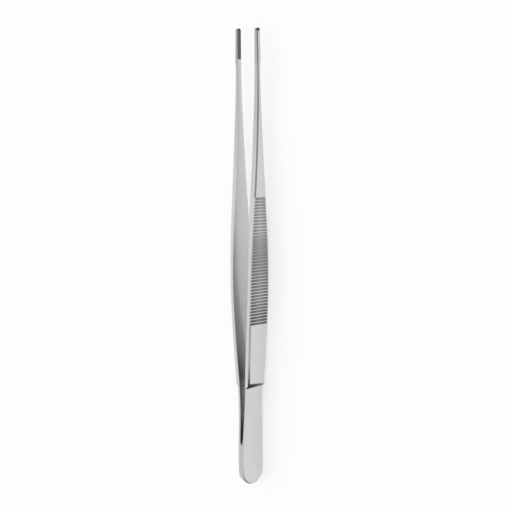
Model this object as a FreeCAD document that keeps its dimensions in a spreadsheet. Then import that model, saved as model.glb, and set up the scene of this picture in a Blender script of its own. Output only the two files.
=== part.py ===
# Thumb forceps: the long straight pattern, with a fluted grip and serrated jaws.
#
# The real one is two spring arms, forged and ground from stainless steel, laid face to face and welded at
# the heel. Both arms are the same forging, one turned over about the long axis.
#
# The forceps lie on the long edges of the heel, as they do on a tray. The long axis runs along +X from the
# heel to the tips, the arms open along Y, and Z runs across their width. Sizes are millimetres and degrees.
import FreeCAD, Part
import math
import os
from types import SimpleNamespace

import Sketcher
from FreeCAD import Placement, Rotation, Vector

DRIVING_SIZES = {
    # The arm as a whole
    "overall_length": 200.0,
    # Heel: the flat plate at the closed end, and the weld that holds the two arms
    "heel_width": 11.6,
    "heel_thickness": 1.65,
    "heel_flat_length": 13.6,
    "weld_length": 18.2,
    "heel_bevel": 0.4,
    "heel_bevel_fade": 0.8,
    # Neck: the thin springing part between the heel and the shoulder
    "neck_angle": 2.4,
    "neck_thickness": 1.15,
    # Shoulder: the step up to the thick part that the fingers hold
    "shoulder_at": 46.4,
    "shoulder_step": 1.63,
    "shoulder_run": 2.2,
    # Platform and crown: a straight slope that the crown bends down to the long back
    "platform_angle": 3.75,
    "crown_at": 93.5,
    "crown_radius": 345.0,
    "grip_thickness": 2.42,
    # Back: the long shallow arc from the crown to the tip, and the hollow under it, both placed from the tip
    "back_top": 65.0,
    "back_radius": 2300.0,
    "hollow_foot": 68.0,
    "hollow_radius": 1950.0,
    "edge_bevel": 0.6,
    # Flutes: shallow round grooves across the grip
    "flute_start": 72.9,
    "flute_end": 127.7,
    "flute_pitch": 1.36,
    "flute_radius": 0.75,
    "flute_depth": 0.3,
    # Jaw: the flat, serrated end of the inner side
    "jaw_length": 13.6,
    "first_tooth": 0.45,
    "tooth_pitch": 0.6,
    "tooth_depth": 0.18,
    "tooth_width": 0.42,
    # Outline on the arm's face: places from the heel, and the half widths that pull the edge there
    "belly_at": 24.0,
    "belly_half": 5.24,
    "waist_at": 36.0,
    "waist_half": 4.29,
    "palm_at": 56.0,
    "palm_half": 5.2,
    "grip_at": 88.0,
    "grip_half": 5.66,
    "flank_at": 114.0,
    "flank_half": 4.67,
    # The slim end of the outline: places from the tip, and the half widths there
    "taper_back": 64.0,
    "taper_half": 2.58,
    "shank_back": 42.0,
    "shank_half": 1.45,
    "throat_back": 22.0,
    "throat_half": 0.68,
    "jaw_half": 1.08,
}
size = SimpleNamespace(**DRIVING_SIZES)

# Which end of a sketch line or arc a constraint holds, and the sketch's own origin and axes
START, END, CENTRE = range(1, 4)
X_AXIS, Y_AXIS = range(-1, -3, -1)
ORIGIN = X_AXIS

# How far a cutter stands clear of what it cuts, and half a turn for the heel's bevel
OVERCUT = 1.0
HALF_TURN = 180.0

# A face counts as outer above this share of its normal, and an edge as long above this length
OUTER_SHARE = 0.9
LONG_EDGE = 0.01

# Heights and centres that follow from the sizes, measured from the plane between the arms.
# The crown leans where it meets the back: the sine of that lean is how far it lies short of the back's top.
BACK_X = "(Sizes.overall_length - Sizes.back_top)"
HOLLOW_X = "(Sizes.overall_length - Sizes.hollow_foot)"
LEAN = "((%s - Sizes.crown_at) / Sizes.back_radius)" % BACK_X
NECK_RUN = "(Sizes.shoulder_at - Sizes.shoulder_run - Sizes.heel_flat_length)"
FOOT_HEIGHT = "(Sizes.heel_thickness + tan(Sizes.neck_angle) * %s)" % NECK_RUN
BEND_START = "(Sizes.crown_at - Sizes.crown_radius * (sin(Sizes.platform_angle) - %s))" % LEAN
BEND_HEIGHT = (
    "(%s + Sizes.shoulder_step + tan(Sizes.platform_angle) * (%s - Sizes.shoulder_at))"
    % (FOOT_HEIGHT, BEND_START)
)
CROWN_X = "(Sizes.crown_at + Sizes.crown_radius * %s)" % LEAN
CROWN_Y = "(%s - Sizes.crown_radius * cos(Sizes.platform_angle))" % BEND_HEIGHT
BACK_Y = "(%s - (Sizes.back_radius - Sizes.crown_radius) * cos(asin(%s)))" % (CROWN_Y, LEAN)
INNER_RADIUS = "(Sizes.crown_radius - Sizes.grip_thickness)"
HOLLOW_Y = (
    "(%s + sqrt((%s + Sizes.hollow_radius)^2 - (%s - %s)^2))"
    % (CROWN_Y, INNER_RADIUS, HOLLOW_X, CROWN_X)
)
JAW_ROOT = "(Sizes.overall_length - Sizes.jaw_length)"
JAW_HEIGHT = "(%s - sqrt(Sizes.hollow_radius^2 - (%s - %s)^2))" % (HOLLOW_Y, JAW_ROOT, HOLLOW_X)

doc = FreeCAD.newDocument("thumb_forceps")
sheet = doc.addObject("Spreadsheet::Sheet", "Sizes")
for row, (alias, number) in enumerate(DRIVING_SIZES.items(), start=1):
    sheet.set("A%d" % row, alias)
    sheet.set("B%d" % row, str(number))
    sheet.setAlias("B%d" % row, alias)
doc.recompute()


def worth(formula):
    """What a formula comes to with the sizes as they stand."""
    return float(sheet.evalExpression(formula))


def polar(centre, radius, degrees):
    """The point at an angle on a circle."""
    turn = math.radians(degrees)
    return Vector(centre.x + radius * math.cos(turn), centre.y + radius * math.sin(turn), 0)


def new_sketch(body, name, plane):
    """An empty sketch on one of the body's own origin planes."""
    sketch = body.newObject("Sketcher::SketchObject", name)
    support = next(each for each in body.Origin.OriginFeatures if each.Role == plane)
    sketch.AttachmentSupport = (support, [""])
    sketch.MapMode = "FlatFace"
    return sketch


def line(sketch, start, end):
    return sketch.addGeometry(Part.LineSegment(start, end), False)


def arc(sketch, centre, radius, start_degrees, end_degrees):
    circle = Part.Circle(centre, Vector(0, 0, 1), radius)
    bend = Part.ArcOfCircle(circle, math.radians(start_degrees), math.radians(end_degrees))
    return sketch.addGeometry(bend, False)


def relate(sketch, kind, *places):
    sketch.addConstraint(Sketcher.Constraint(kind, *places))


def dimension(sketch, name, kind, *places, by):
    """A dimension that the sheet drives, through the formula given as by."""
    index = sketch.addConstraint(Sketcher.Constraint(kind, *places, worth(by)))
    sketch.renameConstraint(index, name)
    sketch.setExpression("Constraints." + name, by)


def draw_side_profile(sketch):
    """The arm seen from its edge, as one closed chain.

    x runs along the arm and y out from the plane on which the two arms meet. From the heel the arm springs
    away at the neck angle, steps out at the shoulder, climbs the platform, bends over the crown and follows
    the long back to the tip. Inside, the same crown runs out into a hollow that ends at the flat jaw.
    """
    neck = math.radians(size.neck_angle)

    # Outer side, heel to tip
    heel_end = Vector(0, 0)
    heel_top = Vector(0, size.heel_thickness)
    heel_bend = Vector(size.heel_flat_length, size.heel_thickness)
    foot = Vector(size.shoulder_at - size.shoulder_run, worth(FOOT_HEIGHT))
    shoulder = Vector(size.shoulder_at, foot.y + size.shoulder_step)
    bend_start = Vector(worth(BEND_START), worth(BEND_HEIGHT))
    crown_centre = Vector(worth(CROWN_X), worth(CROWN_Y))
    lean_degrees = math.degrees(math.asin(worth(LEAN)))
    back_centre = Vector(worth(BACK_X), worth(BACK_Y))
    back_turn = math.degrees(math.acos(size.back_top / size.back_radius))
    tip_outer = polar(back_centre, size.back_radius, back_turn)

    # Inner side, tip to heel
    jaw_root = Vector(worth(JAW_ROOT), worth(JAW_HEIGHT))
    tip_inner = Vector(size.overall_length, jaw_root.y)
    hollow_centre = Vector(worth(HOLLOW_X), worth(HOLLOW_Y))
    inner_radius = worth(INNER_RADIUS)
    apart = hollow_centre - crown_centre
    across_degrees = math.degrees(math.atan2(apart.y, apart.x))
    root_reach = jaw_root - hollow_centre
    root_degrees = math.degrees(math.atan2(root_reach.y, root_reach.x))
    across = size.neck_thickness / math.cos(neck)
    under_shoulder = Vector(size.shoulder_at, foot.y + size.shoulder_run * math.tan(neck) - across)
    reach = under_shoulder - crown_centre
    bend_degrees = math.degrees(math.atan2(reach.y, reach.x) - math.acos(inner_radius / reach.Length))
    inner_bend = polar(crown_centre, inner_radius, bend_degrees)

    # Rounded end of the gap, where the weld stops
    weld_end = Vector(size.weld_length, 0)
    weld_rise = (size.weld_length - size.heel_flat_length) * math.sin(neck)
    gap_width = size.heel_thickness * math.cos(neck) + weld_rise - size.neck_thickness
    gap_radius = gap_width / (1 - math.sin(neck))
    gap_centre = weld_end + Vector(gap_radius, 0)
    gap_degrees = 90 + size.neck_angle
    gap_side = polar(gap_centre, gap_radius, gap_degrees)

    end_edge = line(sketch, heel_end, heel_top)
    heel_face = line(sketch, heel_top, heel_bend)
    neck_face = line(sketch, heel_bend, foot)
    step = line(sketch, foot, shoulder)
    platform = line(sketch, shoulder, bend_start)
    crown_bend = arc(sketch, crown_centre, size.crown_radius, 90 + lean_degrees, 90 + size.platform_angle)
    back = arc(sketch, back_centre, size.back_radius, back_turn, 90 + lean_degrees)
    tip_edge = line(sketch, tip_outer, tip_inner)
    jaw_face = line(sketch, tip_inner, jaw_root)
    hollow = arc(sketch, hollow_centre, size.hollow_radius, across_degrees - HALF_TURN, root_degrees)
    inner_arc = arc(sketch, crown_centre, inner_radius, across_degrees, bend_degrees)
    platform_under = line(sketch, inner_bend, under_shoulder)
    neck_under = line(sketch, under_shoulder, gap_side)
    gap_end = arc(sketch, gap_centre, gap_radius, gap_degrees, HALF_TURN)
    weld_face = line(sketch, weld_end, heel_end)

    for first, second in (
        (end_edge, heel_face), (heel_face, neck_face), (neck_face, step), (step, platform),
        (tip_edge, jaw_face), (jaw_face, hollow), (platform_under, neck_under), (weld_face, end_edge),
    ):
        second_end = END if second == hollow else START
        relate(sketch, "Coincident", first, END, second, second_end)
    relate(sketch, "Tangent", platform, END, crown_bend, END)
    relate(sketch, "Tangent", crown_bend, START, back, END)
    relate(sketch, "Coincident", back, START, tip_edge, START)
    relate(sketch, "Tangent", hollow, START, inner_arc, START)
    relate(sketch, "Tangent", inner_arc, END, platform_under, START)
    relate(sketch, "Tangent", neck_under, END, gap_end, START)
    relate(sketch, "Coincident", gap_end, END, weld_face, START)
    relate(sketch, "Coincident", weld_face, END, ORIGIN, START)
    relate(sketch, "Coincident", inner_arc, CENTRE, crown_bend, CENTRE)
    relate(sketch, "PointOnObject", gap_end, CENTRE, X_AXIS)
    for level in (heel_face, jaw_face, weld_face):
        relate(sketch, "Horizontal", level)
    for upright in (end_edge, tip_edge):
        relate(sketch, "Vertical", upright)
    relate(sketch, "Parallel", neck_under, neck_face)

    def along(name, part, end, by):
        dimension(sketch, name, "DistanceX", ORIGIN, START, part, end, by=by)

    along("heel_flat", heel_face, END, "Sizes.heel_flat_length")
    along("weld", weld_face, START, "Sizes.weld_length")
    along("shoulder_place", step, END, "Sizes.shoulder_at")
    along("under_shoulder_place", neck_under, START, "Sizes.shoulder_at")
    along("crown_place", crown_bend, START, "Sizes.crown_at")
    along("back_place", back, CENTRE, BACK_X)
    along("hollow_place", hollow, CENTRE, HOLLOW_X)
    along("tip_place", tip_edge, START, "Sizes.overall_length")
    dimension(sketch, "heel_height", "DistanceY", end_edge, START, end_edge, END, by="Sizes.heel_thickness")
    dimension(sketch, "step_run", "DistanceX", step, START, step, END, by="Sizes.shoulder_run")
    dimension(sketch, "step_height", "DistanceY", step, START, step, END, by="Sizes.shoulder_step")
    dimension(sketch, "jaw_run", "DistanceX", jaw_face, END, jaw_face, START, by="Sizes.jaw_length")
    dimension(sketch, "crown_bend", "Radius", crown_bend, by="Sizes.crown_radius")
    dimension(sketch, "back_bend", "Radius", back, by="Sizes.back_radius")
    dimension(sketch, "inner_bend", "Radius", inner_arc, by=INNER_RADIUS)
    dimension(sketch, "hollow_bend", "Radius", hollow, by="Sizes.hollow_radius")
    dimension(sketch, "neck_gauge", "Distance", neck_under, START, neck_face, by="Sizes.neck_thickness")
    dimension(sketch, "neck_slope", "Angle", X_AXIS, START, neck_face, START, by="Sizes.neck_angle")
    dimension(sketch, "platform_slope", "Angle", X_AXIS, START, platform, START, by="Sizes.platform_angle")


def draw_face_outline(sketch):
    """The arm seen on its face: a round heel, a waist, a broad grip and a long taper to a round tip.

    The waste around it is drawn too, as a rectangle, so that one cut through the blank leaves the arm.
    """
    heel_half = size.heel_width / 2
    heel_centre = Vector(heel_half, 0)
    tip_centre = Vector(size.overall_length - size.jaw_half, 0)
    pulls = (
        ("Sizes.heel_flat_length", "Sizes.heel_width / 2"),
        ("Sizes.belly_at", "Sizes.belly_half"),
        ("Sizes.waist_at", "Sizes.waist_half"),
        ("Sizes.palm_at", "Sizes.palm_half"),
        ("Sizes.grip_at", "Sizes.grip_half"),
        ("Sizes.flank_at", "Sizes.flank_half"),
        ("Sizes.overall_length - Sizes.taper_back", "Sizes.taper_half"),
        ("Sizes.overall_length - Sizes.shank_back", "Sizes.shank_half"),
        ("Sizes.overall_length - Sizes.throat_back", "Sizes.throat_half"),
        (JAW_ROOT, "Sizes.jaw_half"),
    )

    heel_round = arc(sketch, heel_centre, heel_half, 90, 270)
    tip_round = arc(sketch, tip_centre, size.jaw_half, -90, 90)
    dimension(sketch, "heel_round", "Radius", heel_round, by="Sizes.heel_width / 2")
    dimension(sketch, "heel_place", "DistanceX", ORIGIN, START, heel_round, CENTRE,
              by="Sizes.heel_width / 2")
    dimension(sketch, "tip_round", "Radius", tip_round, by="Sizes.jaw_half")
    dimension(sketch, "tip_place", "DistanceX", ORIGIN, START, tip_round, CENTRE,
              by="Sizes.overall_length - Sizes.jaw_half")
    relate(sketch, "PointOnObject", heel_round, CENTRE, X_AXIS)
    relate(sketch, "PointOnObject", tip_round, CENTRE, X_AXIS)

    first_pulls = None
    for side, heel_join, tip_join in ((1, START, END), (-1, END, START)):
        heel_corner = Vector(heel_half, side * heel_half)
        poles = [Vector(worth(place), side * worth(half)) for place, half in pulls]
        heel_side = line(sketch, heel_corner, poles[0])
        curve = sketch.addGeometry(Part.BSplineCurve(poles, None, None, False, 3, None, False), False)
        jaw_side = line(sketch, poles[-1], Vector(tip_centre.x, side * size.jaw_half))
        relate(sketch, "Tangent", heel_round, heel_join, heel_side, START)
        relate(sketch, "Coincident", heel_side, END, curve, START)
        relate(sketch, "Coincident", curve, END, jaw_side, START)
        relate(sketch, "Tangent", jaw_side, END, tip_round, tip_join)
        pull = sketch.GeometryCount
        sketch.exposeInternalGeometry(curve)
        if first_pulls is None:
            first_pulls = pull
            for step, (place, half) in enumerate(pulls):
                point = (ORIGIN, START, pull + step, CENTRE)
                dimension(sketch, "pull_%d_place" % step, "DistanceX", *point, by=place)
                if 0 < step < len(pulls) - 1:
                    dimension(sketch, "pull_%d_half" % step, "DistanceY", *point, by=half)
        else:
            for step in range(1, len(pulls) - 1):
                relate(sketch, "Symmetric", first_pulls + step, CENTRE, pull + step, CENTRE, X_AXIS)
            for step in (0, len(pulls) - 1):
                relate(sketch, "Vertical", first_pulls + step, CENTRE, pull + step, CENTRE)

    # The waste: a rectangle that stands clear of the blank all round
    corners = (
        ("-%s" % OVERCUT, "-Sizes.heel_width"),
        ("Sizes.overall_length + %s" % OVERCUT, "-Sizes.heel_width"),
        ("Sizes.overall_length + %s" % OVERCUT, "Sizes.heel_width"),
        ("-%s" % OVERCUT, "Sizes.heel_width"),
    )
    spots = [Vector(worth(across), worth(up)) for across, up in corners]
    frame = [line(sketch, spots[side - 1], spot) for side, spot in enumerate(spots)]
    for side, edge in enumerate(frame):
        relate(sketch, "Coincident", frame[side - 1], END, edge, START)
        relate(sketch, "Horizontal" if side % 2 else "Vertical", edge)
    for side, name in ((0, "low"), (2, "high")):
        across, up = corners[side]
        dimension(sketch, "waste_%s_x" % name, "DistanceX", ORIGIN, START, frame[side], END, by=across)
        dimension(sketch, "waste_%s_y" % name, "DistanceY", ORIGIN, START, frame[side], END, by=up)


def through_cut(body, name, profile):
    """A cut across the whole width of the arm, both ways from its middle plane."""
    cut = body.newObject("PartDesign::Pocket", name)
    cut.Profile = profile
    cut.SideType = "Symmetric"
    cut.setExpression("Length", "2 * Sizes.heel_width")
    return cut


def repeat(body, name, kind, original, guide, pitch, count, backwards=False):
    """Copies of a cut, stepped along or around its own sketch."""
    pattern = body.newObject("PartDesign::" + kind, name)
    pattern.Originals = [original]
    pattern.Mode = "Spacing"
    setattr(pattern, "Direction" if kind == "LinearPattern" else "Axis", guide)
    pattern.Reversed = backwards
    pattern.setExpression("Offset", pitch)
    pattern.setExpression("Occurrences", count)
    body.Tip = pattern
    return pattern


def platform_edges(solid):
    """The long outer edges from the shoulder to the tip, which are ground to a bevel."""
    names = []
    for face in solid.Faces:
        middle = face.CenterOfMass
        outer_share = face.normalAt(*face.Surface.parameter(middle)).y
        if outer_share < OUTER_SHARE or middle.x < size.shoulder_at:
            continue
        for edge in face.Edges:
            if edge.BoundBox.XLength < LONG_EDGE:
                continue
            names += ["Edge%d" % place for place, other in enumerate(solid.Edges, 1) if other.isSame(edge)]
    return sorted(set(names))


def draw_triangle(sketch, corners):
    """A cutter's triangle, each corner held by its own two formulas."""
    spots = [Vector(worth(across), worth(up)) for across, up in corners]
    edges = [line(sketch, spots[corner - 1], spot) for corner, spot in enumerate(spots)]
    for corner, (across, up) in enumerate(corners):
        relate(sketch, "Coincident", edges[corner - 1], START, edges[corner - 2], END)
        dimension(sketch, "across_%d" % corner, "DistanceX", ORIGIN, START, edges[corner], END, by=across)
        dimension(sketch, "up_%d" % corner, "DistanceY", ORIGIN, START, edges[corner], END, by=up)


def cut_flutes(arm, name, centre, radius, lean, count, backwards):
    """Round grooves stepped about the centre of the arc that they lie on, the first one leaning from it."""
    flute = new_sketch(arm, name, "XY_Plane")
    flute.setExpression("AttachmentOffset.Base.x", centre[0])
    flute.setExpression("AttachmentOffset.Base.y", centre[1])
    flute.setExpression("AttachmentOffset.Rotation.Angle", lean)
    height = radius + " + Sizes.flute_radius - Sizes.flute_depth"
    ring = flute.addGeometry(Part.Circle(Vector(0, worth(height)), Vector(0, 0, 1), size.flute_radius))
    relate(flute, "PointOnObject", ring, CENTRE, Y_AXIS)
    dimension(flute, "height", "DistanceY", ORIGIN, START, ring, CENTRE, by=height)
    dimension(flute, "groove", "Radius", ring, by="Sizes.flute_radius")
    first = through_cut(arm, name + "_cut", flute)
    doc.recompute()
    turn = "Sizes.flute_pitch / %s * 180 / pi" % radius
    repeat(arm, name + "_row", "PolarPattern", first, (flute, ["N_Axis"]), turn, count, backwards)
    doc.recompute()


def make_arm(name, turned_over, tooth_shift):
    """One arm, forged to its side profile, cut to its outline, bevelled, fluted and serrated."""
    arm = doc.addObject("PartDesign::Body", name)
    arm.Label = name

    side = new_sketch(arm, name + "_side", "XY_Plane")
    draw_side_profile(side)
    blank = arm.newObject("PartDesign::Pad", name + "_blank")
    blank.Profile = side
    blank.SideType = "Symmetric"
    blank.setExpression("Length", "Sizes.heel_width + %s" % OVERCUT)

    outline = new_sketch(arm, name + "_outline", "XZ_Plane")
    draw_face_outline(outline)
    trimmed = arm.newObject("PartDesign::Pocket", name + "_trimmed")
    trimmed.Profile = outline
    trimmed.SideType = "Symmetric"
    trimmed.setExpression("Length", "Sizes.overall_length")
    doc.recompute()

    # Bevel along the outer edges, which also runs round the tip
    bevel = arm.newObject("PartDesign::Chamfer", name + "_bevel")
    bevel.Base = (trimmed, platform_edges(trimmed.Shape))
    bevel.setExpression("Size", "Sizes.edge_bevel")
    doc.recompute()

    # Bevel round the heel: a cone that stands off the heel's own centre, so that it fades out at the sides
    cone = new_sketch(arm, name + "_heel_cone", "XY_Plane")
    cone.setExpression("AttachmentOffset.Base.x", "Sizes.heel_width / 2 + Sizes.heel_bevel_fade")
    radius = "(Sizes.heel_width / 2 + Sizes.heel_bevel_fade)"
    draw_triangle(cone, (
        ("-%s - %s" % (radius, OVERCUT), "Sizes.heel_thickness - Sizes.heel_bevel - %s" % OVERCUT),
        ("-%s + Sizes.heel_bevel + %s" % (radius, OVERCUT), "Sizes.heel_thickness + %s" % OVERCUT),
        ("-%s - %s" % (radius, OVERCUT), "Sizes.heel_thickness + %s" % OVERCUT),
    ))
    heel_cut = arm.newObject("PartDesign::Groove", name + "_heel_cut")
    heel_cut.Profile = cone
    heel_cut.ReferenceAxis = (cone, ["V_Axis"])
    heel_cut.Midplane = True
    heel_cut.Angle = HALF_TURN

    # Flutes: back from the crown towards the shoulder, then on along the back towards the shank
    cut_flutes(
        arm, name + "_crown_flutes", (CROWN_X, CROWN_Y), "Sizes.crown_radius", "asin(%s)" % LEAN,
        "floor((Sizes.crown_at - Sizes.flute_start) / Sizes.flute_pitch) + 1", backwards=False,
    )
    cut_flutes(
        arm, name + "_back_flutes", (BACK_X, BACK_Y), "Sizes.back_radius",
        "asin(%s - Sizes.flute_pitch / Sizes.back_radius)" % LEAN,
        "floor((Sizes.flute_end - Sizes.crown_at) / Sizes.flute_pitch)", backwards=True,
    )

    # Teeth across the jaw, from the tip towards the heel
    tooth = new_sketch(arm, name + "_tooth", "XY_Plane")
    tooth_place = "Sizes.overall_length - Sizes.first_tooth - " + tooth_shift
    tooth.setExpression("AttachmentOffset.Base.x", tooth_place)
    tooth.setExpression("AttachmentOffset.Base.y", JAW_HEIGHT)
    draw_triangle(tooth, (
        ("-Sizes.tooth_width / 2", "0"),
        ("Sizes.tooth_width / 2", "0"),
        ("0", "Sizes.tooth_depth"),
    ))
    first_tooth = through_cut(arm, name + "_first_tooth", tooth)
    doc.recompute()
    repeat(arm, name + "_teeth", "LinearPattern", first_tooth, (tooth, ["H_Axis"]),
           "Sizes.tooth_pitch", "floor(Sizes.jaw_length / Sizes.tooth_pitch)", backwards=True)

    # Where the arm lies: on the long edge of its heel, half the length to each side, turned over if second
    arm.Placement = Placement(Vector(), Rotation(Vector(1, 0, 0), HALF_TURN if turned_over else 0))
    arm.setExpression("Placement.Base.x", "-Sizes.overall_length / 2")
    arm.setExpression("Placement.Base.z", "Sizes.heel_width / 2")
    doc.recompute()
    return arm


# The second arm's teeth stand half a pitch over, so that the jaws mesh
arms = [
    make_arm("left_arm", turned_over=False, tooth_shift="0"),
    make_arm("right_arm", turned_over=True, tooth_shift="Sizes.tooth_pitch / 2"),
]

for item in doc.Objects:
    if "Invalid" in item.State or "Error" in item.State:
        raise RuntimeError("%s did not build: %s" % (item.Name, item.State))
for arm in arms:
    if arm.Shape.isNull() or not arm.Shape.isValid() or len(arm.Shape.Solids) != 1:
        raise RuntimeError("%s is not one sound solid" % arm.Label)

os.makedirs("parts", exist_ok=True)
for arm in arms:
    arm.Shape.exportStep("parts/%s.step" % arm.Label)
    print("%s: %.1f mm3, %d faces" % (arm.Label, arm.Shape.Volume, len(arm.Shape.Faces)))
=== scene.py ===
import math

import bmesh
import bpy
from mathutils import Matrix, Vector


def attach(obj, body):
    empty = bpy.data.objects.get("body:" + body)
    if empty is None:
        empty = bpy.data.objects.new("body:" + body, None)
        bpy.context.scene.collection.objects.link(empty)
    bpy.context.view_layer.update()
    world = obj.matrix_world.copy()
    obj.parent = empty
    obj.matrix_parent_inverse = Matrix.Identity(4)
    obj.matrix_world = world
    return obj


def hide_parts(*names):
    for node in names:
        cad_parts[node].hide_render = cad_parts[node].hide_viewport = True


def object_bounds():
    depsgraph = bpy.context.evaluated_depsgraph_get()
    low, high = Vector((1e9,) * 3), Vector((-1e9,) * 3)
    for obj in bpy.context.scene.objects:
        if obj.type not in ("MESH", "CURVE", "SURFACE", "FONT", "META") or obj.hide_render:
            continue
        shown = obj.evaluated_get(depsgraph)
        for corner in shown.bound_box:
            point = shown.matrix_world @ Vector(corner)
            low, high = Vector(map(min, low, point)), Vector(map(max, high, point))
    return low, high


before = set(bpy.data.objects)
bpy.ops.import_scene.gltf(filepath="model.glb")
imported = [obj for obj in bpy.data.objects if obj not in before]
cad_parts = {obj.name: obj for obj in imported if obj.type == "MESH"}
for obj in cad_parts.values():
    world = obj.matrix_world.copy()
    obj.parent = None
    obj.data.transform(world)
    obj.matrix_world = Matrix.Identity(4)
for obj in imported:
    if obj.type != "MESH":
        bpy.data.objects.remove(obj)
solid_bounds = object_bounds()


# The arms of the forceps
# Each arm is one stainless forging, ground to a bevelled platform with a fluted grip, a slim shank and
# a serrated jaw. The two are the same piece, one turned over, welded face to face at the heel.
MM = 0.001
low, high = solid_bounds
LENGTH = high[0] - low[0]
HEEL_END = low[0]
MIDDLE_HEIGHT = (high[2] + low[2]) / 2
HEEL_HALF = (high[2] - low[2]) / 2

HEEL_THICKNESS = 1.65 * MM
HEEL_FLAT = 13.6 * MM
WELD_LENGTH = 18.2 * MM
WELD_SLIP = 0.18 * MM
NECK_ANGLE = math.radians(2.4)
NECK_THICKNESS = 1.15 * MM
SHOULDER_AT = 46.4 * MM
SHOULDER_STEP = 1.63 * MM
SHOULDER_RUN = 2.2 * MM
PLATFORM_ANGLE = math.radians(3.75)
CROWN_AT = 93.5 * MM
CROWN_RADIUS = 345 * MM
GRIP_THICKNESS = 2.42 * MM
BACK_AT = LENGTH - 65 * MM
BACK_RADIUS = 2300 * MM
HOLLOW_AT = LENGTH - 68 * MM
HOLLOW_RADIUS = 1950 * MM
# Bevels, as places along the arm with the bevel's size there
HEEL_RIM_END = 10.5 * MM
HEEL_BEVELS = ((2.5 * MM, 0.52 * MM), (HEEL_RIM_END, 0.0))
BEVEL_DEPTHS = (
    (90 * MM, 0.7 * MM), (124 * MM, 0.42 * MM), (152 * MM, 0.3 * MM), (182 * MM, 0.28 * MM),
    (187.5 * MM, 0.05 * MM),
)
BEVEL_WIDTHS = ((124 * MM, 0.7 * MM), (152 * MM, 0.76 * MM), (182 * MM, 0.56 * MM), (187.5 * MM, 0.84 * MM))
# Flutes are cut straight across, and notch the bevels inward and down by a share of their depth
FLUTE_START = 72.9 * MM
FLUTE_END = 127.7 * MM
FLUTE_PITCH = 1.36 * MM
FLUTE_RADIUS = 0.75 * MM
FLUTE_DEPTH = 0.3 * MM
FLUTE_WRAP = 0.42
FLUTE_WRAP_DOWN = 0.3 * FLUTE_WRAP
# The jaw and its teeth, counted back from the tip
JAW_LENGTH = 13.6 * MM
TOOTHED_LENGTH = 13.1 * MM
JAW_HALF = 1.08 * MM
FIRST_TOOTH = 0.45 * MM
TOOTH_PITCH = 0.6 * MM
TOOTH_DEPTH = 0.18 * MM
TOOTH_WIDTH = 0.42 * MM
JAW_ROOT = LENGTH - JAW_LENGTH
# Places along the arm and the half widths that pull its edge there
OUTLINE_PULLS = (
    (HEEL_FLAT, HEEL_HALF), (24 * MM, 5.24 * MM), (36 * MM, 4.29 * MM), (56 * MM, 5.2 * MM),
    (88 * MM, 5.66 * MM), (114 * MM, 4.67 * MM), (136 * MM, 2.58 * MM), (158 * MM, 1.45 * MM),
    (178 * MM, 0.68 * MM), (JAW_ROOT, JAW_HALF),
)
# How far each edge is rounded off, and the most that it takes of a face
INNER_EDGE = 0.16 * MM
SEAM_EDGE = 0.03 * MM
OUTER_EDGE = 0.07 * MM
NECK_EDGE = 0.09 * MM
EDGE_SHARE = 0.4
EDGE_STEPS = 3
# The section's corner at which the outer face starts, and where it has spots of its own between its edges
FACE_START = 2
FACE_SHARES = (-0.5, 0.0, 0.5)


def between(points, x):
    """The value at x on the straight lines through the points, and level beyond the first and the last."""
    before = points[0]
    for after in points[1:]:
        if x < after[0]:
            share = max(x - before[0], 0) / (after[0] - before[0])
            return before[1] + (after[1] - before[1]) * share
        before = after
    return before[1]


def outline_curve():
    """The edge of the arm between heel and jaw, read from the smooth curve that its pulls shape."""
    curve = bpy.data.curves.new("outline", "CURVE")
    curve.dimensions = "3D"
    curve.resolution_u = 64
    spline = curve.splines.new("NURBS")
    spline.points.add(len(OUTLINE_PULLS) - 1)
    for point, (place, half) in zip(spline.points, OUTLINE_PULLS):
        point.co = (place, half, 0, 1)
    spline.order_u = 4
    spline.use_endpoint_u = True
    holder = bpy.data.objects.new("outline", curve)
    line = bpy.data.meshes.new_from_object(holder)
    spots = sorted((v.co.x, v.co.y) for v in line.vertices)
    bpy.data.objects.remove(holder)
    bpy.data.meshes.remove(line)
    bpy.data.curves.remove(curve)
    return spots


OUTLINE = outline_curve()


def half_width(x):
    """Half the arm's width: heel circle, heel straight, the drawn edge, the jaw and its round tip."""
    if x < HEEL_HALF:
        return math.sqrt(max(HEEL_HALF ** 2 - (HEEL_HALF - x) ** 2, 0))
    if x <= HEEL_FLAT:
        return HEEL_HALF
    tip = x - (LENGTH - JAW_HALF)
    if tip > 0:
        return math.sqrt(max(JAW_HALF ** 2 - tip ** 2, 0))
    if x >= JAW_ROOT:
        return JAW_HALF
    return between(OUTLINE, x)


def neck_height(x):
    """The outer face of the heel, and of the neck that leans out from it."""
    return HEEL_THICKNESS + max(x - HEEL_FLAT, 0) * math.tan(NECK_ANGLE)


# The crown's arc touches the straight platform on the heel side and the long back on the tip side
LEAN = math.asin((BACK_AT - CROWN_AT) / BACK_RADIUS)
BEND_START = CROWN_AT - CROWN_RADIUS * (math.sin(PLATFORM_ANGLE) - math.sin(LEAN))
FOOT_AT = SHOULDER_AT - SHOULDER_RUN
BEND_HEIGHT = neck_height(FOOT_AT) + SHOULDER_STEP + math.tan(PLATFORM_ANGLE) * (BEND_START - SHOULDER_AT)
CROWN_X = CROWN_AT + CROWN_RADIUS * math.sin(LEAN)
CROWN_Y = BEND_HEIGHT - CROWN_RADIUS * math.cos(PLATFORM_ANGLE)
BACK_Y = CROWN_Y - (BACK_RADIUS - CROWN_RADIUS) * math.cos(LEAN)

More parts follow.
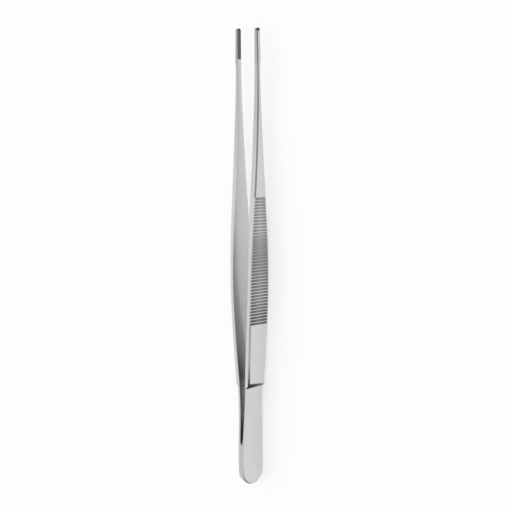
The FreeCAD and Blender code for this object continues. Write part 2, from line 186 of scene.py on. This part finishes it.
# Inside, the same centre carries the grip's arc, which turns into the hollow and ends at the jaw
INNER_RADIUS = CROWN_RADIUS - GRIP_THICKNESS
HOLLOW_Y = CROWN_Y + math.sqrt((INNER_RADIUS + HOLLOW_RADIUS) ** 2 - (HOLLOW_AT - CROWN_X) ** 2)
HOLLOW_START = CROWN_X + (HOLLOW_AT - CROWN_X) * INNER_RADIUS / (INNER_RADIUS + HOLLOW_RADIUS)
JAW_HEIGHT = HOLLOW_Y - math.sqrt(HOLLOW_RADIUS ** 2 - (JAW_ROOT - HOLLOW_AT) ** 2)

# Past the shoulder the inner face is a straight line that touches the grip's arc
NECK_ACROSS = NECK_THICKNESS / math.cos(NECK_ANGLE)
UNDER_SHOULDER = neck_height(SHOULDER_AT) - NECK_ACROSS
UNDER_REACH = (SHOULDER_AT - CROWN_X, UNDER_SHOULDER - CROWN_Y)
UNDER_TURN = math.atan2(UNDER_REACH[1], UNDER_REACH[0]) - math.acos(INNER_RADIUS / math.hypot(*UNDER_REACH))
UNDER_BEND = (CROWN_X + INNER_RADIUS * math.cos(UNDER_TURN), CROWN_Y + INNER_RADIUS * math.sin(UNDER_TURN))

# The weld stops at a round gap end, whose circle touches the neck's underside
WELD_RISE = (WELD_LENGTH - HEEL_FLAT) * math.sin(NECK_ANGLE)
GAP_SPARE = HEEL_THICKNESS * math.cos(NECK_ANGLE) + WELD_RISE - NECK_THICKNESS
GAP_RADIUS = GAP_SPARE / (1 - math.sin(NECK_ANGLE))


def platform_height(x):
    """The outer face from the shoulder to the tip, before flutes."""
    if x < BEND_START:
        return BEND_HEIGHT - (BEND_START - x) * math.tan(PLATFORM_ANGLE)
    if x < CROWN_AT:
        return CROWN_Y + math.sqrt(CROWN_RADIUS ** 2 - (CROWN_X - x) ** 2)
    return BACK_Y + math.sqrt(BACK_RADIUS ** 2 - (BACK_AT - x) ** 2)


def flute_cut(x):
    """How deep the flutes cut at x: round grooves stepped both ways from the crown."""
    first = -math.floor((CROWN_AT - FLUTE_START) / FLUTE_PITCH)
    last = math.floor((FLUTE_END - CROWN_AT) / FLUTE_PITCH)
    step = min(max(round((x - CROWN_AT) / FLUTE_PITCH), first), last)
    off = x - CROWN_AT - step * FLUTE_PITCH
    if abs(off) >= FLUTE_RADIUS:
        return 0.0
    return max(FLUTE_DEPTH - FLUTE_RADIUS + math.sqrt(FLUTE_RADIUS ** 2 - off ** 2), 0.0)


def tooth_cut(x, shift):
    """How deep the jaw's teeth cut at x, counted back from the tip."""
    if x < LENGTH - TOOTHED_LENGTH:
        return 0.0
    off = (LENGTH - x - FIRST_TOOTH - shift) / TOOTH_PITCH
    off = abs(off - round(off)) * TOOTH_PITCH
    return max(0.0, TOOTH_DEPTH * (1 - off / (TOOTH_WIDTH / 2)))


def inner_level(x, shift):
    """The inner face: weld plane, round end of the gap, neck, grip, hollow and jaw."""
    if x <= WELD_LENGTH:
        return 0.0
    if x < WELD_LENGTH + GAP_RADIUS * (1 - math.sin(NECK_ANGLE)):
        return math.sqrt(GAP_RADIUS ** 2 - (WELD_LENGTH + GAP_RADIUS - x) ** 2)
    if x < SHOULDER_AT:
        return neck_height(x) - NECK_ACROSS
    if x < UNDER_BEND[0]:
        share = (x - SHOULDER_AT) / (UNDER_BEND[0] - SHOULDER_AT)
        return UNDER_SHOULDER + (UNDER_BEND[1] - UNDER_SHOULDER) * share
    if x < HOLLOW_START:
        return CROWN_Y + math.sqrt(INNER_RADIUS ** 2 - (CROWN_X - x) ** 2)
    if x < JAW_ROOT:
        return HOLLOW_Y - math.sqrt(HOLLOW_RADIUS ** 2 - (x - HOLLOW_AT) ** 2)
    return JAW_HEIGHT + tooth_cut(x, shift)


def section(x, shift):
    """The arm's cross-section at x as a ring of (out, up) spots with rounded corners.

    It runs from the inner face over one wall and bevel, the outer face, and the other bevel and wall.
    """
    half = half_width(x)
    inside = inner_level(x, shift)
    flute = 0.0
    if x <= FOOT_AT:
        # The bevel follows the heel's half circle and fades out before the neck
        bevel = between(HEEL_BEVELS, x)
        top_half = half - bevel
        if x < HEEL_HALF:
            top_half = math.sqrt(max((HEEL_HALF - bevel) ** 2 - (HEEL_HALF - x) ** 2, 0))
        top_half = min(top_half, half - min(NECK_EDGE, EDGE_SHARE * half))
        level = neck_height(x) - max(bevel - x, 0)
        shoulder = min(neck_height(x) - bevel, level - NECK_EDGE)
    else:
        # The platform's bevel runs to the jaw and follows its round tip
        bevel = between(BEVEL_WIDTHS, x)
        rim = JAW_HALF - bevel
        past_round = max(x - (LENGTH - JAW_HALF), 0)
        top_half = math.sqrt(max(rim ** 2 - past_round ** 2, 0)) if past_round else half - bevel
        level = platform_height(x) - max(past_round - rim, 0)
        shoulder = platform_height(x) - between(BEVEL_DEPTHS, x)
        flute = flute_cut(x)
        if x < SHOULDER_AT:
            # The step is a ramp from the neck up to the platform, and widens as it comes down the bevel
            ramp = neck_height(FOOT_AT) + (x - FOOT_AT) * SHOULDER_STEP / SHOULDER_RUN
            if ramp < level:
                top_half = min(top_half + level - ramp, half)
                level = ramp
            shoulder = min(shoulder, ramp - NECK_EDGE)
    wrap = flute * FLUTE_WRAP
    shoulder -= flute * FLUTE_WRAP_DOWN
    inner_edge = SEAM_EDGE if x <= WELD_LENGTH else INNER_EDGE
    corners = (
        (inside, -half, inner_edge),
        (shoulder, wrap - half, OUTER_EDGE),
        (level - flute, wrap - top_half, OUTER_EDGE),
        (level - flute, top_half - wrap, OUTER_EDGE),
        (shoulder, half - wrap, OUTER_EDGE),
        (inside, half, inner_edge),
    )
    ring = []
    for place, (out, up, soft) in enumerate(corners):
        here = Vector((out, up))
        to_before = Vector(corners[place - 1][:2]) - here
        to_after = Vector(corners[(place + 1) % len(corners)][:2]) - here
        reach = min(soft, EDGE_SHARE * to_before.length, EDGE_SHARE * to_after.length)
        start = here + to_before.normalized() * reach
        end = here + to_after.normalized() * reach
        for step in range(EDGE_STEPS + 1):
            share = step / EDGE_STEPS
            point = start * (1 - share) ** 2 + here * 2 * share * (1 - share) + end * share ** 2
            ring.append((point.x, point.y))
        if place == FACE_START:
            ring.extend((level - flute, share * top_half) for share in FACE_SHARES)
    return ring


# What each spot of a section's ring lies on, up one side, over the outer face and down the other side
HALF_CORNER = (EDGE_STEPS + 1) // 2
SIDE_BANDS = ["inner"] + ["wall root"] * EDGE_STEPS + ["wall top"] + ["bevel foot"] * EDGE_STEPS
SIDE_BANDS += ["bevel top"] * HALF_CORNER
SPOT_BANDS = SIDE_BANDS + ["face"] * (2 * HALF_CORNER + len(FACE_SHARES)) + SIDE_BANDS[::-1]
# Painted shade, highlight and reflection along the arm, as factors on the steel's colour, where 1 is the
# plain satin
# Painted shade on the inner faces: darkest just past the shoulder, where the arms face each other, and
# lighter toward the lower edge
INNER_TONES = (
    (WELD_LENGTH, 0.97), (30 * MM, 0.95), (FOOT_AT, 0.74), (SHOULDER_AT + 3 * MM, 0.54), (60 * MM, 0.67),
    (68 * MM, 0.69), (84 * MM, 0.73), (95 * MM, 0.78), (112 * MM, 0.86),
)
INNER_LIFT_BELOW = 0.06
# Painted shade and reflection on the walls: darker at the heel and toward the jaw, and darker still along
# their root near the jaw
WALL_TONES = ((WELD_LENGTH, 0.82), (30 * MM, 0.96), (125 * MM, 0.97), (155 * MM, 0.84), (180 * MM, 0.78))
WALL_ROOT_SHARES = ((184 * MM, 0.92), (187 * MM, 0.72))
# Painted shade on the outer face, darker toward the jaw
FACE_TONES = ((150 * MM, 1.0), (180 * MM, 0.87))
# Painted dark reflection on the bevel round the heel, fading toward the neck
HEEL_RIM_TONES = ((0.3 * MM, 0.22), (2 * MM, 0.36), (HEEL_RIM_END, 0.8))
# Painted reflection on the bevels: the one along the top edge is painted darker than the one below, and
# toward the jaw it gets a painted highlight along its foot
BEVEL_TONES = (
    (SHOULDER_AT, 0.15), (50 * MM, 0.55), (56 * MM, 0.92), (60 * MM, 1.0), (90 * MM, 1.0), (124 * MM, 0.46),
    (152 * MM, 0.38), (182 * MM, 0.27), (187.5 * MM, 0.10),
)
BEVEL_FOOT_LIFTS = ((165 * MM, 0.0), (187 * MM, 0.45))
LOWER_BEVEL_TONE = 0.9
# Painted shade in the step's corner: its tones run from its lower end to its upper one, where the painted
# dark also reaches past its foot
STEP_TONES = ((-1.0, 0.36), (-0.5, 0.20), (0.0, 0.06), (0.5, 0.02), (1.0, 0.015))
STEP_REACH = 0.25 * MM
STEP_TOP = 0.03 * MM
STEP_FILL = 0.8
STEP_FILL_TILT = 0.2
STEP_WALL_TONE = 0.2
# Painted shade on the floors of the flutes, the painted light they gain in the middle of the face, and
# painted highlights on the crests between them
GROOVE_TONES = (
    (74 * MM, 0.15), (84 * MM, 0.19), (101 * MM, 0.29), (108 * MM, 0.39), (116 * MM, 0.34),
    (127 * MM, 0.32),
)
GROOVE_MIDDLE_LIFTS = (
    (74 * MM, 0.12), (84 * MM, 0.24), (101 * MM, 0.14), (114 * MM, 0.24), (127 * MM, 0.22),
)
GROOVE_TOP_LOSS = 0.25
CREST_TONES = (
    (74 * MM, 0.98), (86 * MM, 1.1), (99 * MM, 0.80), (106 * MM, 0.56), (109 * MM, 0.56), (114 * MM, 1.1),
    (122 * MM, 1.05), (127 * MM, 0.85),
)
CREST_SWING = 0.08
CREST_BEAT = 2.4
CREST_DEPTH = 0.6 * FLUTE_DEPTH
FLUTE_FOOT_TONE = 0.95
# Painted shade over the toothed face of the jaw, deeper in its grooves, and a painted dark reflection on
# the round of its tip
TOOTH_TONE = 0.25
TOOTH_GROOVE_LOSS = 0.12
TIP_TOOTH_SHARE = 0.5
TIP_REACH = 1.2 * JAW_HALF
TIP_TONE = 0.1
TIP_WALL_TONE = 0.6


def inner_tone(x, across, shift):
    """Painted shade on the inner faces, and the painted dark field of the teeth."""
    # Painted shade over the teeth, deeper in their grooves and darker on the round of the tip
    if x > LENGTH - TOOTHED_LENGTH:
        share = TIP_TOOTH_SHARE if x > LENGTH - JAW_HALF else 1.0
        return share * (TOOTH_TONE - TOOTH_GROOVE_LOSS * tooth_cut(x, shift) / TOOTH_DEPTH)
    return between(INNER_TONES, x) + INNER_LIFT_BELOW * (1 - across) if x > WELD_LENGTH else 1.0


def step_tone(x, across):
    """Painted shade in the corner under the shoulder, which narrows toward its lower end."""
    up_step = (x - FOOT_AT) / SHOULDER_RUN
    return 1.0 if up_step > STEP_FILL + STEP_FILL_TILT * across else between(STEP_TONES, across)


def flute_tone(x, across):
    """Painted shade in the grooves, darker toward the top edge, between painted highlights on the crests,
    which differ a little from one flute to the next.
    """
    groove = between(GROOVE_TONES, x) + between(GROOVE_MIDDLE_LIFTS, x) * (1 - abs(across))
    groove *= 1 - GROOVE_TOP_LOSS * max(across, 0) ** 2
    flute = round((x - CROWN_AT) / FLUTE_PITCH)
    crest = between(CREST_TONES, x) + CREST_SWING * math.sin(CREST_BEAT * flute)
    return groove + (crest - groove) * max(1 - flute_cut(x) / CREST_DEPTH, 0)


def painted_light_tone(x, band, across, shift):
    """Painted shade, highlight and reflection at one spot, as a factor on the steel's colour. Across runs
    from -1 at the lower edge to 1 at the top.
    """
    if band == "inner":
        return inner_tone(x, across, shift)
    # Painted dark reflection on the jaw's round tip, less dark where the walls meet the bevels
    if x > LENGTH - TIP_REACH and band != "wall root":
        return TIP_WALL_TONE if band == "wall top" else TIP_TONE
    # Painted shade and reflection on the walls, and the step's painted shade on the top edge by its foot
    if band == "wall root":
        return between(WALL_ROOT_SHARES, x) * between(WALL_TONES, x)
    if band == "wall top":
        return between(WALL_TONES, x) if across < 0 or abs(x - FOOT_AT) > STEP_REACH else STEP_WALL_TONE
    # Painted shade in the corner under the shoulder
    if FOOT_AT - STEP_REACH * across < x < SHOULDER_AT + STEP_TOP:
        return step_tone(x, across)
    # Painted shade in the flutes' grooves and painted highlights on their crests
    if FLUTE_START - FLUTE_PITCH / 2 < x < FLUTE_END + FLUTE_PITCH / 2:
        return FLUTE_FOOT_TONE if band == "bevel foot" else flute_tone(x, across)
    # Painted dark reflection on the heel's bevel
    if x < HEEL_RIM_END and band != "face":
        return between(HEEL_RIM_TONES, x)
    if x < SHOULDER_AT:
        return 1.0
    # Painted shade on the outer face
    if band == "face":
        return between(FACE_TONES, x)
    # Painted reflection: the lower bevel light, the top bevel dark with a painted highlight along its foot
    if across < 0:
        return LOWER_BEVEL_TONE
    return between(BEVEL_TONES, x) + (between(BEVEL_FOOT_LIFTS, x) if band == "bevel foot" else 0.0)


# How closely the cross-sections stand, and how near two spots are taken as one
HEEL_STEPS = 40
TIP_STEPS = 16
PLAIN_SPACING = 1.0 * MM
GAP_END_SPACING = 0.04 * MM
STEP_SPACING = 0.1 * MM
STEPS_A_FLUTE = 14
SHANK_SPACING = 1.5 * MM
EDGE_OFFSETS = (-0.06 * MM, -0.02 * MM, 0.02 * MM, 0.06 * MM)
TEETH_EDGE = 0.03 * MM
TOOTH_OFFSETS = (-0.5, -0.35, -0.34, -0.2, 0.0, 0.2, 0.34, 0.35)
CLOSEST = 0.002 * MM
SAME_SPOT = 0.0001 * MM


def stations(shift):
    """Where the cross-sections stand: close together where the form turns, wide apart where it is plain."""
    places = set()
    for step in range(1, HEEL_STEPS + 1):
        places.add(HEEL_HALF * (1 - math.cos(math.pi / 2 * step / HEEL_STEPS)))
    for step in range(1, TIP_STEPS + 1):
        places.add(LENGTH - JAW_HALF * (1 - math.sin(math.pi / 2 * (1 - step / (TIP_STEPS + 0.5)))))

    def spread(start, end, gap):
        count = max(1, math.ceil((end - start) / gap))
        places.update(start + (end - start) * step / count for step in range(count + 1))

    gap_end = WELD_LENGTH + GAP_RADIUS
    first_flute = FLUTE_START - FLUTE_PITCH
    last_flute = FLUTE_END + FLUTE_PITCH
    spread(HEEL_HALF, WELD_LENGTH, PLAIN_SPACING)
    spread(WELD_LENGTH, gap_end, GAP_END_SPACING)
    spread(gap_end, FOOT_AT, PLAIN_SPACING)
    spread(FOOT_AT, SHOULDER_AT, STEP_SPACING)
    spread(SHOULDER_AT, first_flute, PLAIN_SPACING)
    spread(first_flute, last_flute, FLUTE_PITCH / STEPS_A_FLUTE)
    spread(last_flute, JAW_ROOT, SHANK_SPACING)
    for edge in (FOOT_AT - STEP_REACH, FOOT_AT, SHOULDER_AT):
        places.update(edge + offset for offset in EDGE_OFFSETS)
    places.update((LENGTH - TOOTHED_LENGTH - TEETH_EDGE, LENGTH - TOOTHED_LENGTH + TEETH_EDGE))
    for tooth in range(int(TOOTHED_LENGTH / TOOTH_PITCH) + 1):
        middle = LENGTH - FIRST_TOOTH - shift - tooth * TOOTH_PITCH
        across_tooth = (middle + offset * TOOTH_PITCH for offset in TOOTH_OFFSETS)
        places.update(place for place in across_tooth if JAW_ROOT < place < LENGTH - JAW_HALF)
    ordered = sorted(places)
    return ordered[:1] + [after for before, after in zip(ordered, ordered[1:]) if after - before > CLOSEST]


def make_arm(name, side, shift):
    """One arm as a skin over its cross-sections, on the +Y side or turned over to the -Y side.

    In the weld the two arms have slipped a little, so that the +Y arm reaches further.
    """
    shape = bmesh.new()
    # Each spot stores its painted shade, highlight and reflection, which the steel multiplies into its
    # colour
    tone = shape.verts.layers.float.new("painted_light_tone")
    previous = None
    for x in stations(shift):
        half = half_width(x)
        ring = []
        for band, (out, up) in zip(SPOT_BANDS, section(x, shift)):
            spot = shape.verts.new((HEEL_END + x + side * WELD_SLIP, side * out, MIDDLE_HEIGHT + side * up))
            spot[tone] = painted_light_tone(x, band, side * up / half, shift)
            ring.append(spot)
        if previous is None:
            shape.faces.new(ring)
        else:
            for step in range(len(ring)):
                after = (step + 1) % len(ring)
                shape.faces.new((previous[step], previous[after], ring[after], ring[step]))
        previous = ring
    shape.faces.new(list(reversed(previous)))
    bmesh.ops.remove_doubles(shape, verts=shape.verts, dist=SAME_SPOT)
    bmesh.ops.recalc_face_normals(shape, faces=shape.faces)
    mesh = bpy.data.meshes.new(name)
    shape.to_mesh(mesh)
    shape.free()
    mesh.shade_smooth()
    arm = bpy.data.objects.new(name, mesh)
    bpy.context.scene.collection.objects.link(arm)
    arm.modifiers.new("crisp_faces", "WEIGHTED_NORMAL")
    return arm


# The plain satin's darkest and lightest tone, and its roughness where it is polished most and least
SATIN_TONES = (0.64, 0.70)
SATIN_ROUGHNESS = (0.16, 0.28)
# The grain's streaks to a metre, along the arm and across it, and the clouds that the polishing leaves
GRAIN_ALONG = 60
GRAIN_ACROSS = 2600
POLISH_CLOUDS = 90
SCRATCH_DEPTH = 0.02 * MM


def satin_steel():
    """Stainless steel with a lengthwise grind, polished to a satin, its colour multiplied by the painted
    shade, highlight and reflection stored at each spot.
    """
    steel = bpy.data.materials.new("satin_steel")
    steel.use_nodes = True
    tree = steel.node_tree
    shader = tree.nodes["Principled BSDF"]
    shader.inputs["Metallic"].default_value = 1.0
    shader.inputs["Anisotropic"].default_value = 0.3

    place = tree.nodes.new("ShaderNodeTexCoord")
    stretch = tree.nodes.new("ShaderNodeMapping")
    stretch.inputs["Scale"].default_value = (GRAIN_ALONG, GRAIN_ACROSS, GRAIN_ACROSS)
    tree.links.new(place.outputs["Object"], stretch.inputs["Vector"])
    grain = tree.nodes.new("ShaderNodeTexNoise")
    grain.inputs["Scale"].default_value = 1.0
    grain.inputs["Detail"].default_value = 4.0
    tree.links.new(stretch.outputs["Vector"], grain.inputs["Vector"])
    cloud = tree.nodes.new("ShaderNodeTexNoise")
    cloud.inputs["Scale"].default_value = POLISH_CLOUDS
    cloud.inputs["Detail"].default_value = 3.0
    tree.links.new(place.outputs["Object"], cloud.inputs["Vector"])

    tone = tree.nodes.new("ShaderNodeMapRange")
    tone.inputs["To Min"].default_value = SATIN_TONES[0]
    tone.inputs["To Max"].default_value = SATIN_TONES[1]
    tree.links.new(grain.outputs["Fac"], tone.inputs["Value"])
    # The painted shade, highlight and reflection of each spot, multiplied into the colour
    painted_light = tree.nodes.new("ShaderNodeAttribute")
    painted_light.attribute_name = "painted_light_tone"
    shaded_colour = tree.nodes.new("ShaderNodeMath")
    shaded_colour.operation = "MULTIPLY"
    tree.links.new(tone.outputs["Result"], shaded_colour.inputs[0])
    tree.links.new(painted_light.outputs["Fac"], shaded_colour.inputs[1])
    colour = tree.nodes.new("ShaderNodeCombineColor")
    for channel in ("Red", "Green", "Blue"):
        tree.links.new(shaded_colour.outputs["Value"], colour.inputs[channel])
    tree.links.new(colour.outputs["Color"], shader.inputs["Base Color"])

    polish = tree.nodes.new("ShaderNodeMapRange")
    polish.inputs["To Min"].default_value = SATIN_ROUGHNESS[0]
    polish.inputs["To Max"].default_value = SATIN_ROUGHNESS[1]
    tree.links.new(cloud.outputs["Fac"], polish.inputs["Value"])
    tree.links.new(polish.outputs["Result"], shader.inputs["Roughness"])

    scratch = tree.nodes.new("ShaderNodeBump")
    scratch.inputs["Strength"].default_value = 0.15
    scratch.inputs["Distance"].default_value = SCRATCH_DEPTH
    tree.links.new(grain.outputs["Fac"], scratch.inputs["Height"])
    tree.links.new(scratch.outputs["Normal"], shader.inputs["Normal"])
    return steel


steel = satin_steel()
for arm_name, side, tooth_shift in (("left_arm", 1, 0), ("right_arm", -1, TOOTH_PITCH / 2)):
    arm = make_arm(arm_name + "_ground", side, tooth_shift)
    arm.data.materials.append(steel)
    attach(arm, "root")
    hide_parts(arm_name)


# The table top
# A plain white sheet that the forceps lie on, wide enough to fill any view. It glows faintly to the camera
# and in the steel, so that it looks pure white and still takes the shadow of the forceps.
TABLE_HALF = 3.0
TABLE_DROP = 0.1 * MM
TABLE_GREY = 0.4
TABLE_GLOW = 0.62


def white_table():
    """A matt sheet whose glow is seen by the camera and in polished metal, but lights nothing."""
    sheet = bpy.data.materials.new("white_table")
    sheet.use_nodes = True
    tree = sheet.node_tree
    shader = tree.nodes["Principled BSDF"]
    shader.inputs["Roughness"].default_value = 0.9
    shader.inputs["Specular IOR Level"].default_value = 0.0
    shader.inputs["Base Color"].default_value = (TABLE_GREY, TABLE_GREY, TABLE_GREY, 1)
    seen = tree.nodes.new("ShaderNodeLightPath")
    either = tree.nodes.new("ShaderNodeMath")
    either.operation = "MAXIMUM"
    tree.links.new(seen.outputs["Is Camera Ray"], either.inputs[0])
    tree.links.new(seen.outputs["Is Glossy Ray"], either.inputs[1])
    through = tree.nodes.new("ShaderNodeMath")
    through.operation = "MAXIMUM"
    tree.links.new(either.outputs[0], through.inputs[0])
    tree.links.new(seen.outputs["Is Transmission Ray"], through.inputs[1])
    glow = tree.nodes.new("ShaderNodeMath")
    glow.operation = "MULTIPLY"
    glow.inputs[1].default_value = TABLE_GLOW
    tree.links.new(through.outputs[0], glow.inputs[0])
    shader.inputs["Emission Color"].default_value = (1, 1, 1, 1)
    tree.links.new(glow.outputs[0], shader.inputs["Emission Strength"])
    return sheet


bpy.ops.mesh.primitive_plane_add(size=2 * TABLE_HALF, location=(0, 0, low[2] - TABLE_DROP))
table = bpy.context.object
table.name = "table_top"
table.data.materials.append(white_table())


# Studio light
# A white tent all round with one dark hood, where the camera looks in. The hood is what makes the polished
# edges that face the camera look dark.
CAMERA_RISE = math.radians(41.9)
HOOD_EDGE = math.radians(30)
HOOD_MOUTH = math.radians(12)
HOOD_LIGHT = 0.32


def white_tent():
    """The world: white everywhere, and fading to the hood's grey round the line to the camera."""
    world = bpy.data.worlds.new("white_tent")
    bpy.context.scene.world = world
    world.use_nodes = True
    tree = world.node_tree
    shine = tree.nodes["Background"]
    shine.inputs["Color"].default_value = (1, 1, 1, 1)
    way = tree.nodes.new("ShaderNodeTexCoord")
    toward = tree.nodes.new("ShaderNodeVectorMath")
    toward.operation = "DOT_PRODUCT"
    toward.inputs[1].default_value = (0, -math.cos(CAMERA_RISE), math.sin(CAMERA_RISE))
    tree.links.new(way.outputs["Generated"], toward.inputs[0])
    hood = tree.nodes.new("ShaderNodeMapRange")
    hood.inputs["From Min"].default_value = math.cos(HOOD_EDGE)
    hood.inputs["From Max"].default_value = math.cos(HOOD_MOUTH)
    hood.inputs["To Min"].default_value = 1.0
    hood.inputs["To Max"].default_value = HOOD_LIGHT
    hood.interpolation_type = "SMOOTHSTEP"
    tree.links.new(toward.outputs["Value"], hood.inputs["Value"])
    tree.links.new(hood.outputs["Result"], shine.inputs["Strength"])


white_tent()


# Camera
# It looks down on the near arm's outer face from the side, with the tips to the top of the picture. Its
# distance, pitch and roll are the ones at which the whole outline falls as in the photograph.
CAMERA_DISTANCE = 501.8 * MM
CAMERA_PITCH = math.radians(6.6)
CAMERA_ROLL = math.radians(-0.385)
FOCAL_PIXELS = 1148.3
FRAME_PIXELS = 512.0
SENSOR_WIDTH = 36.0
NEAREST = 10 * MM
AIM_ALONG = 1.93 * MM
AIM_ACROSS = 2.94 * MM

toward_camera = Vector((0, -math.cos(CAMERA_RISE), math.sin(CAMERA_RISE)))
tips_way = Vector((1, 0, 0))
picture_right = Vector((0, -math.sin(CAMERA_RISE), -math.cos(CAMERA_RISE)))
aim = Vector((AIM_ALONG, 0, MIDDLE_HEIGHT)) + picture_right * AIM_ACROSS
back = toward_camera * math.cos(CAMERA_PITCH) + tips_way * math.sin(CAMERA_PITCH)
roll = Matrix.Rotation(CAMERA_ROLL, 3, back)
right = roll @ picture_right
up = roll @ (tips_way * math.cos(CAMERA_PITCH) - toward_camera * math.sin(CAMERA_PITCH))
place = aim + back * CAMERA_DISTANCE
lens = bpy.data.cameras.new("camera")
lens.sensor_width = SENSOR_WIDTH
lens.lens = FOCAL_PIXELS / FRAME_PIXELS * SENSOR_WIDTH
lens.clip_start = NEAREST
camera = bpy.data.objects.new("camera", lens)
bpy.context.scene.collection.objects.link(camera)
camera.matrix_world = Matrix((
    (right.x, up.x, back.x, place.x),
    (right.y, up.y, back.y, place.y),
    (right.z, up.z, back.z, place.z),
    (0, 0, 0, 1),
))
bpy.context.scene.camera = camera
bpy.context.scene.view_settings.view_transform = "Standard"
